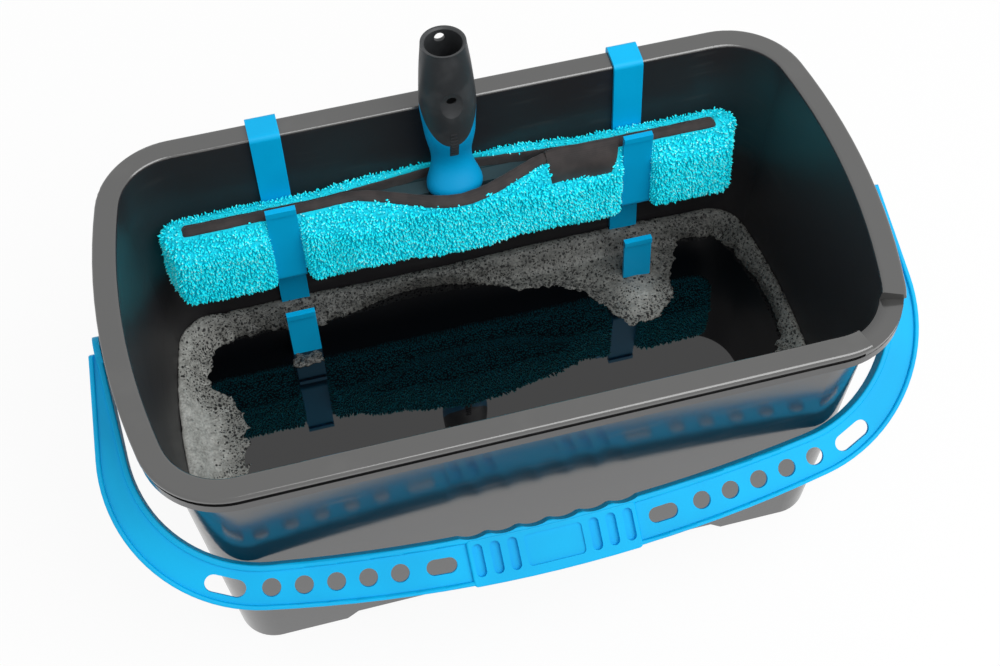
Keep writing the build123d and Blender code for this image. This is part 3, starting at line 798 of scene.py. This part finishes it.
def turquoise_cloth(coords):
    knit = noise(coords, 1.2 * mm, 1.0)
    inside = stored(coords, "bare_inside")
    # Painted shade below and a painted glow, as on the pile; the bare inside does not glow.
    outside_colour = painted_shade_below(coords, knit.mix(screen(0, 180, 202), screen(0, 206, 226)))
    inside_colour = knit.mix(screen(22, 48, 54), screen(30, 64, 70))
    return principled(coords, {
        "Base Color": inside.mix(outside_colour, inside_colour),
        "Roughness": 0.85,
        "Emission Color": inside.mix(outside_colour, screen(0, 0, 0)),
        "Emission Strength": fibre_glow,
        "Normal": bumps(knit, 0.3 * mm),
    })


def place(piece, material, body, slot=None, stands_for=()):
    """Gives a finished piece its surface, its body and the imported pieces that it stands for."""
    piece.data.materials.clear()
    piece.data.materials.append(material)
    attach(piece, body)
    if stands_for:
        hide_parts(*stands_for)
    print(piece.name, "rides on", body)


cloth_finish = finish("turquoise_cloth", turquoise_cloth)
place(sleeve_body, cloth_finish, "washer", "turquoise_pile", ["sleeve_pile"])
for end in sleeve_ends:
    place(end, cloth_finish, "washer", "turquoise_pile")
pile_finish = finish("turquoise_pile", turquoise_pile)
for stretch in pile:
    place(stretch, pile_finish, "washer", "turquoise_pile")

# %% How much of each end the clips' travel would leave
joints = {joint["name"]: joint for joint in frame["record"]["behaviour"]["joints"]}
for name, end, end_pile, cut_x in zip(
    ("left_clip_slide", "right_clip_slide"), sleeve_ends, pile[len(stretches) :], end_cuts
):
    tip_x = max((vertex.co.x for vertex in end.data.vertices), key=abs)
    travel = max(abs(limit) for limit in joints[name]["range_m"])
    kept = 1 - travel / abs(tip_x - cut_x)
    for piece in (end, end_pile):
        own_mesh(piece)
    print(name, "leaves", round(kept, 2), "of", end.name)

# %% [markdown]
# ## Binding round the slit
# A folded black tape is sewn round the whole slit in one loop. At the front it lies over the lip and
# shows its broad side, at the back it stands inside the slit. A curve with a bevel would keep one
# section all the way, so a grid is rolled into a tube instead: one direction runs round the loop, the
# other round the tape, and the section turns from lying to standing at the two ends.

# %% Route and section of the tape
loop_steps = 200
tape_sides = 12
end_turn_share = 0.045
look_ahead = 0.002
front_run = slit_half_length - 5 * mm
front_tape = (
    {"out": 1.6 * mm, "up": -2.0 * mm, "long": 4.2 * mm, "short": 1.8 * mm, "slope": 27},
    {"out": 4.0 * mm, "up": -3.4 * mm, "long": 5.2 * mm, "short": 1.8 * mm, "slope": 27},
)
back_tape = (
    {"out": 0.8 * mm, "up": -8.0 * mm, "long": 7.5 * mm, "short": 1.7 * mm, "slope": 84},
    {"out": 0.3 * mm, "up": -12.0 * mm, "long": 6.8 * mm, "short": 2.0 * mm, "slope": 84},
)


def part_way(first, second, share):
    """A section of the tape part of the way from one section to another."""
    return {key: first[key] * (1 - share) + second[key] * share for key in first}


def loop_place(turn):
    """Along, across and share of the back section at a share of the whole loop."""
    run_share = 0.5 - end_turn_share
    half = turn % 1.0
    back = half >= 0.5
    step = (half - 0.5 if back else half) / run_share
    if step <= 1:
        along = front_run * (2 * step - 1)
        eye = eye_share(along)
        if back:
            return -along, slit_edge(along, eye_back) + part_way(*back_tape, eye)["out"], 1.0
        return along, -slit_edge(along, eye_front) - part_way(*front_tape, eye)["out"], 0.0
    front_across = -slit_half_width - front_tape[0]["out"]
    back_across = slit_half_width + back_tape[0]["out"]
    angle = math.pi * (step - 1) * run_share / end_turn_share
    middle = (front_across + back_across) / 2
    radius = (back_across - front_across) / 2
    side = -1 if back else 1
    share = smoothstep(0, math.pi, angle)
    along = side * (front_run + radius * math.sin(angle))
    return along, middle - side * radius * math.cos(angle), 1 - share if back else share


def tape_point(turn, around):
    """Point of the tape's skin at a share of the loop and a share of the way round the tape."""
    along, across, share = loop_place(turn)
    ahead = loop_place(turn + look_ahead)
    behind = loop_place(turn - look_ahead)
    heading = Vector((ahead[0] - behind[0], ahead[1] - behind[1])).normalized()
    outward = Vector((heading.y, -heading.x))
    eye = eye_share(along)
    size = part_way(part_way(*front_tape, eye), part_way(*back_tape, eye), share)
    slope = math.radians(size["slope"])
    angle = 2 * math.pi * around
    along_tape = size["long"] * math.cos(angle)
    off_tape = size["short"] * math.sin(angle)
    sideways = along_tape * math.cos(slope) + off_tape * math.sin(slope)
    rise = -along_tape * math.sin(slope) + off_tape * math.cos(slope)
    return from_sagged(
        along + outward.x * sideways,
        across + outward.y * sideways,
        sleeve_top + size["up"] + rise,
    )


# %% Grid rolled into the tape
def lay_grid(name, columns, rows, point_at):
    """A grid whose points are laid by a formula, from their shares of its two sides."""
    piece = add(bpy.ops.mesh.primitive_grid_add, name, x_subdivisions=columns, y_subdivisions=rows, size=1.0)
    for vertex in piece.data.vertices:
        vertex.co = point_at(vertex.co.x + 0.5, vertex.co.y + 0.5)
    return piece


slit_binding = lay_grid("slit_binding", loop_steps, tape_sides, tape_point)
weld(slit_binding)
shape_with(slit_binding, "SUBSURF", levels=1, render_levels=1)
swell(slit_binding, "tape_wrinkles", grain=7 * mm, strength=0.9 * mm, middle=0.5)
bpy.ops.object.shade_smooth()
print("slit_binding", len(slit_binding.data.polygons), "faces")

# %% [markdown]
# ## Cloth tag
# A bare black tag is sewn into the binding and hangs down over the pile to the right of the handle. Its
# side view is two quadratic curves, one down the front and one over the lip into the slit. A grid of the
# tag's cut size is laid along them and given its thickness by Solidify. It stays blank.


# %% Side view of the tag
tag_front_share = 0.72
tag_belly = (-16.5 * mm, 61 * mm)
tag_lip_cover = 1.5 * mm
tag_crest = 1.2 * mm
flap_bend = (4.5 * mm, 3 * mm)
flap_end = (4.2 * mm, -6 * mm)


def along_curve(first, middle, last, share):
    """Point of a quadratic curve."""
    rest = 1 - share
    weights = (rest * rest, 2 * rest * share, share * share)
    return tuple(sum(w * c for w, c in zip(weights, points)) for points in zip(first, middle, last))


def tag_profile(along, share):
    """Across and up of the tag, from its lower edge to the end of its flap in the slit."""
    lip = -slit_edge(along, eye_front) - tag_lip_cover
    crest = (lip, sleeve_top + tag_crest)
    if share <= tag_front_share:
        bottom = (-tag_bottom_front, tag_foot)
        return along_curve(bottom, tag_belly, crest, share / tag_front_share)
    flap_share = (share - tag_front_share) / (1 - tag_front_share)
    over = (lip + flap_bend[0], sleeve_top + flap_bend[1])
    return along_curve(crest, over, (lip + flap_end[0], sleeve_top + flap_end[1]), flap_share)


# %% Tag
tag_ripple = 0.5 * mm
tag_thickness = 0.7 * mm
tag_columns = 36
tag_rows = 34


def tag_point(width_share, share):
    """Point of the tag, whose right edge slants and whose front ripples."""
    front_share = min(1.0, share / tag_front_share)
    right = tag_right_bottom + (tag_right_top - tag_right_bottom) * front_share
    along = tag_left + width_share * (right - tag_left)
    across, up = tag_profile(along, share)
    ripple = tag_ripple * math.sin(7 * width_share + 2) * (1 - front_share)
    return from_sagged(along, across - ripple, up)


cloth_tag = lay_grid("cloth_tag", tag_columns, tag_rows, tag_point)
shape_with(cloth_tag, "SOLIDIFY", thickness=tag_thickness, offset=0.0)
shape_with(cloth_tag, "BEVEL", width=0.2 * mm, segments=2, limit_method="ANGLE")
edit(cloth_tag)
bpy.ops.mesh.normals_make_consistent(inside=False)
leave()
bpy.ops.object.shade_smooth_by_angle(angle=math.radians(40))


# %% Black cloth finish
def black_cloth(coords):
    thread = 0.9 * mm
    one_band_per_metre = 0.32
    warp, weft = (
        coords.node(
            "ShaderNodeTexWave",
            {"bands_direction": direction},
            {"Vector": coords, "Scale": one_band_per_metre / thread, "Distortion": 1.0},
            out="Fac",
        )
        for direction in ("X", "Z")
    )
    weave = warp * weft
    worn = noise(coords, 12 * mm).between(0.35, 0.7)
    return principled(coords, {
        "Base Color": (worn * 0.6 + weave * 0.4).mix(screen(34, 30, 30), screen(58, 51, 50)),
        "Roughness": 0.78,
        "Sheen Weight": 0.2,
        "Normal": bumps(weave, 0.12 * mm, 0.7),
    })


cloth = finish("black_cloth", black_cloth)
place(slit_binding, cloth, "washer", "black_cloth", ["sleeve_front_binding", "sleeve_back_binding"])
place(cloth_tag, cloth, "washer", "black_cloth", ["sleeve_label"])

# %% [markdown]
# ## Soapy water
# The bucket is a third full. The waterline is cut from the tub itself: a copy of its mesh is merged and
# bisected at the water level, the outer ring is thrown away, and the inner ring is filled. That way the
# water meets the wall all round, whatever the wall's curve.

# %% Waterline
water_level = 87 * mm
water_skin = 2 * mm
wall_gap = 0.3 * mm
waterline = copy_mesh(nodes["bucket_tub"], "waterline")
edit(waterline)
bpy.ops.mesh.remove_doubles(threshold=merge_distance)
bpy.ops.mesh.bisect(
    plane_co=(0, 0, water_level), plane_no=(0, 0, 1), clear_inner=True, clear_outer=True, use_fill=False
)
bpy.ops.mesh.select_all(action="DESELECT")
leave()
max(waterline.data.vertices, key=lambda v: v.co.x).select = True
bpy.ops.object.mode_set(mode="EDIT")
bpy.ops.mesh.select_linked()
bpy.ops.mesh.delete(type="VERT")
bpy.ops.mesh.select_all(action="SELECT")
bpy.ops.mesh.edge_face_add()
bpy.ops.mesh.normals_make_consistent(inside=False)
leave()
water_half_length = max(v.co.x for v in waterline.data.vertices)
inset = 1 - wall_gap / water_half_length
edit(waterline)
bpy.ops.transform.resize(value=(inset, inset, 1.0))
leave()
print("waterline", len(waterline.data.vertices), "points,", round(2 * water_half_length, 4), "m long")

# %% [markdown]
# ## Foam along the walls
# Foam gathers where it clings: along the back and the ends, and round the legs of the clips. It is easier
# to draw the open water than the foam, so a smooth closed curve through a few given points is cut out
# of a slab on the waterline, and a flat ball makes the island in front of the left clip. A voxel
# remesh joins them and rounds the cut edge as surface tension does. Then the edge is made ragged and the
# foam is raised towards the walls, where it is thickest.

# %% Open water, drawn in millimetres
open_water_points = [
    (-205, -140), (-204, -40), (-196, 14), (-199, 44), (-212, 60), (-213, 84), (-195, 102),
    (-150, 101), (-100, 101), (-74, 109), (-38, 113), (2, 107), (36, 94), (82, 80),
    (101, 60), (126, 34), (157, 48), (164, 68), (172, 90), (188, 106), (212, 97),
    (226, 66), (233, 28), (230, -6), (217, -30), (214, -140),
]
cutter_half_height = 20 * mm
outline = bpy.data.curves.new("open_water", "CURVE")
outline.dimensions = "2D"
outline.fill_mode = "BOTH"
outline.extrude = cutter_half_height
spline = outline.splines.new("BEZIER")
spline.bezier_points.add(len(open_water_points) - 1)
spline.use_cyclic_u = True
for knot, (x, y) in zip(spline.bezier_points, open_water_points):
    knot.co = (x * mm, y * mm, 0)
    knot.handle_left_type = "AUTO"
    knot.handle_right_type = "AUTO"
open_water = new_object("open_water", outline)
open_water.location.z = water_level
pick(open_water)
bpy.ops.object.convert(target="MESH")
bpy.ops.object.transform_apply(location=True, rotation=False, scale=False)
weld(open_water)
print("open_water", len(open_water.data.polygons), "faces")

# %% Foam slab
foam_depth = 3.6 * mm
foam_voxel = 1.5 * mm
into_wall = 1.6 * mm
soap_foam = copy_mesh(waterline, "soap_foam")
water_half_width = max(v.co.y for v in waterline.data.vertices)
edit(soap_foam)
bpy.ops.transform.resize(value=(1 + into_wall / water_half_length, 1 + into_wall / water_half_width, 1.0))
leave()
shape_with(soap_foam, "SOLIDIFY", thickness=foam_depth, offset=-0.4)
shape_with(soap_foam, "BOOLEAN", operation="DIFFERENCE", object=open_water, solver="EXACT")
print("foam slab", len(soap_foam.data.polygons), "faces")

# %% Foam island in front of the left clip
left_leg_x = sum(clip_spans[0]) / 2
island_place = Vector((left_leg_x - 1 * mm, 70 * mm, water_level))
island_size = (14 * mm, 8 * mm, 1.8 * mm)
island = add(
    bpy.ops.mesh.primitive_uv_sphere_add, "foam_island", segments=24, ring_count=12, location=island_place
)
edit(island)
bpy.ops.transform.resize(value=island_size)
leave()
bpy.ops.object.transform_apply(location=True, rotation=False, scale=False)
soap_foam.select_set(True)
bpy.context.view_layer.objects.active = soap_foam
bpy.ops.object.join()
shape_with(soap_foam, "REMESH", mode="VOXEL", voxel_size=foam_voxel, use_smooth_shade=True)
shape_with(soap_foam, "SMOOTH", factor=0.5, iterations=3)
swell(soap_foam, "foam_lumps", grain=9 * mm, strength=1.6 * mm, middle=0.45, direction="Z")
print("foam with its island", len(soap_foam.data.polygons), "faces")

# %% Ragged edge, rise to the walls and painted light
foam_rise = 3.5 * mm
foam_reach = 34 * mm
wall_rise = 13 * mm
wall_band = (2 * mm, 20 * mm)
ragged_size = 7 * mm
ragged_reach = 4.5 * mm
ragged_band = 14 * mm
ragged_seed = 8
still_at_wall = (4 * mm, 18 * mm)
island_reach = 17 * mm
thin_edge = (4 * mm, 30 * mm)
painted_light_end = (-225 * mm, -165 * mm)
painted_light_spots = [(136 * mm, 50 * mm, 34 * mm), (228 * mm, -30 * mm, 50 * mm)]
foam_light = []
foam_edge = []
# Without a seed, Blender draws this noise by the clock.
seed_set(ragged_seed)
for vertex in soap_foam.data.vertices:
    level = Vector((vertex.co.x, vertex.co.y, water_level))
    reach = (open_water.closest_point_on_mesh(level)[1] - level).length
    if (level - island_place).length < island_reach:
        reach = 0.0
    to_wall = (nodes["bucket_tub"].closest_point_on_mesh(level)[1] - level).length
    wobble = noise_vector(level / ragged_size) + 0.5 * noise_vector(level * 3 / ragged_size)
    wobble *= ragged_reach * (1 - smoothstep(0, ragged_band, reach)) * smoothstep(*still_at_wall, to_wall)
    vertex.co.x += wobble.x
    vertex.co.y += wobble.y
    if vertex.co.z > water_level:
        vertex.co.z += foam_rise * smoothstep(0, foam_reach, reach)
        vertex.co.z += wall_rise * (1 - smoothstep(*wall_band, to_wall))
    # Painted light: the foam is lit at the left end, round the right clip's leg and at the right end;
    # elsewhere it stays darker as painted shade.
    light = 1 - smoothstep(*painted_light_end, level.x)
    for x, y, size in painted_light_spots:
        light = max(light, 0.8 - 0.8 * smoothstep(0.2 * size, size, math.hypot(level.x - x, level.y - y)))
    foam_light.append(light)
    # Painted shade: where the painted light is low, the foam gets more dark holes and bubbles, as at its
    # thin edge.
    foam_edge.append(max(1 - smoothstep(*thin_edge, reach), 0.55 - 0.55 * light))
mark(soap_foam, "foam_light", foam_light)
mark(soap_foam, "foam_edge", foam_edge)
mark(soap_foam, "pile_height", [1.0] * len(foam_edge))
print("soap_foam", len(soap_foam.data.polygons), "faces")

# %% [markdown]
# ## Bubbles
# The larger bubbles show as dark dots with a bright speck, most of them near the foam's edge and in its
# painted shade. They are small glossy domes, scattered by the same function as the pile.

# %% Bubble domes
bubble_radius = 0.75 * mm
bubble = add(bpy.ops.mesh.primitive_ico_sphere_add, "bubble", subdivisions=1, radius=bubble_radius)
bpy.ops.object.shade_smooth()
bubble_look = {"spacing": 3.0 * mm, "sizes": (0.5, 1.5), "droop": 0.0, "tangle": 0.0}
foam_bubbles = scatter("foam_bubbles", soap_foam, bubble, "foam_edge", seed=21, **bubble_look)
bpy.data.objects.remove(bubble)
bpy.data.objects.remove(open_water)

# %% [markdown]
# ## Finishes of water and foam
# Dirty water in a black bucket is nearly black, and what is seen of it is its mirror: the white room over
# the rim, and the sleeve and the handle upside down. Foam is painted pale where light falls on it, and
# darker as shade elsewhere and at its thin edge. Its smaller bubbles are too fine to model, so a cell
# pattern darkens them, more of them towards the edge and in the painted shade.


# %% Wet finishes
def dirty_water(coords):
    ripple = noise(coords, 45 * mm, 1.0)
    return principled(coords, {
        "Base Color": screen(6, 6, 8),
        "Roughness": 0.02,
        "IOR": 1.62,
        "Normal": bumps(ripple, 0.05 * mm, 0.2),
    })


def pinholes(coords, size, share):
    """1 inside the dark dots of a cell pattern, in about this share of its cells."""
    cells = coords.node("ShaderNodeTexVoronoi", sockets={"Vector": coords, "Scale": 1 / size})
    chance = coords.node("ShaderNodeSeparateColor", sockets={"Color": cells.other("Color")})
    dots = 1 - cells.between(0.26, 0.4)
    return dots * (share - chance).between(-0.05, 0.05)


def pale_foam(coords):
    # Painted light: foam_light pales the foam where light falls on it.
    light = stored(coords, "foam_light")
    # edge is high at the thin edge and also in the painted shade.
    edge = stored(coords, "foam_edge")
    fine = noise(coords, 1.8 * mm, 3.0)
    tiny = pinholes(coords, 1.1 * mm, edge * 0.6 - 0.1)
    small = pinholes(coords, 1.9 * mm, edge * 0.7)
    large = pinholes(coords, 3.6 * mm, edge * 0.45 + 0.02)
    hole = large.maths("MAXIMUM", large.maths("MAXIMUM", tiny, small), large)
    patches = noise(coords, 7 * mm)
    tone = light * 0.36 + fine * 0.5 + patches * 0.4 - edge * 0.1 - 0.2
    colour = tone.ramp([
        (0.0, screen(58, 59, 57)),
        (0.5, screen(142, 142, 137)),
        (1.0, screen(240, 240, 234)),
    ])
    return principled(coords, {
        "Base Color": hole.mix(colour, screen(14, 14, 14)),
        "Roughness": 0.55,
        "Normal": bumps(fine - hole * 0.8, 0.5 * mm, 0.8),
    })


def dark_bubble(coords):
    tone = stored(coords, "tone")
    return principled(coords, {
        "Base Color": tone.mix(screen(10, 10, 10), screen(52, 52, 50)),
        "Roughness": 0.12,
        "IOR": 1.6,
    })


soapy_water = waterline
soapy_water.name = "soapy_water"
shape_with(soapy_water, "SOLIDIFY", thickness=water_skin, offset=-1.0)
place(soapy_water, finish("soapy_water", dirty_water), "bucket")
place(soap_foam, finish("soap_foam", pale_foam), "bucket")
place(foam_bubbles, finish("foam_bubble", dark_bubble), "bucket")

# %% [markdown]
# ## Floor and light
# The bucket stands on a plain white floor. Rays from the camera see most of the floor as pure white and
# the rest as lit, so the shadow stays. The room is white for the camera, for mirrors and for
# clear things, and dimmer as a light. One large soft lamp above the front right gives the shape.


# %% Floor
def seen(start):
    """1 for rays that show a surface: from the camera, from mirrors and through clear things."""
    path = start.node("ShaderNodeLightPath", out="Is Camera Ray")
    mirrored = path.maths("MAXIMUM", path.other("Is Glossy Ray"), path.other("Is Transmission Ray"))
    return path.maths("MAXIMUM", path, mirrored)


floor_size = 8.0
pure_white_share = 0.92
white = (1.0, 1.0, 1.0, 1.0)


def white_floor(coords):
    lit = coords.node("ShaderNodeBsdfDiffuse", sockets={"Color": (0.9, 0.9, 0.9, 1.0)})
    glow = coords.node("ShaderNodeEmission", sockets={"Color": white, "Strength": 1.0})
    return (seen(coords) * pure_white_share).shade(lit, glow)


floor = add(bpy.ops.mesh.primitive_plane_add, "floor", size=floor_size)
floor.data.materials.append(finish("white_floor", white_floor))
print("floor of", floor_size, "m")

# %% Room
room_light = 0.62
room = bpy.data.worlds.new("white_room")
bpy.context.scene.world = room
room.use_nodes = True
room.node_tree.nodes.clear()
start = Wire(room.node_tree)
dim = start.node("ShaderNodeBackground", sockets={"Color": white, "Strength": room_light})
bright = start.node("ShaderNodeBackground", sockets={"Color": white, "Strength": 1.0})
start.node("ShaderNodeOutputWorld", sockets={"Surface": seen(start).shade(dim, bright)})
bpy.context.scene.view_settings.view_transform = "Standard"
print("room light", room_light)

# %% Lamp
lamp_place = Vector((0.7, -0.85, 1.85))
lamp_aim = Vector((0, 0, 0.2))
light = bpy.data.lights.new("overhead_lamp", "AREA")
light.size = 1.6
light.energy = 30
lamp = new_object("overhead_lamp", light)
facing = (lamp_aim - lamp_place).to_track_quat("-Z", "Y").to_matrix().to_4x4()
lamp.matrix_world = Matrix.Translation(lamp_place) @ facing
print("lamp at", [round(c, 2) for c in lamp_place])

# %% [markdown]
# ## Camera
# The picture looks down into the bucket from the front left. The camera's place was worked out from the
# rim, the bail and the handle, whose sizes are known: a long lens about a metre and a half away, with
# the bucket a little off the lens's axis. An unturned camera looks straight down, so it is rolled, tipped
# up and then turned round the bucket.

# %% Camera
camera_place = Vector((-0.1645, -0.6954, 1.2537))
camera_turn = math.radians(-15.98)
camera_height = math.radians(56.52)
camera_roll = math.radians(0.78)
lens = bpy.data.cameras.new("picture_camera")
lens.sensor_width = 36.0
lens.lens = 62.99
lens.shift_x = -0.042
lens.shift_y = -0.00117
camera = new_object("picture_camera", lens)
turned = Matrix.Rotation(camera_turn, 4, "Z") @ Matrix.Rotation(math.pi / 2 - camera_height, 4, "X")
rolled = turned @ Matrix.Rotation(camera_roll, 4, "Z")
camera.matrix_world = Matrix.Translation(camera_place) @ rolled
bpy.context.scene.camera = camera
print("camera at", [round(c, 3) for c in camera_place])

# %% Finish
print("scene built")
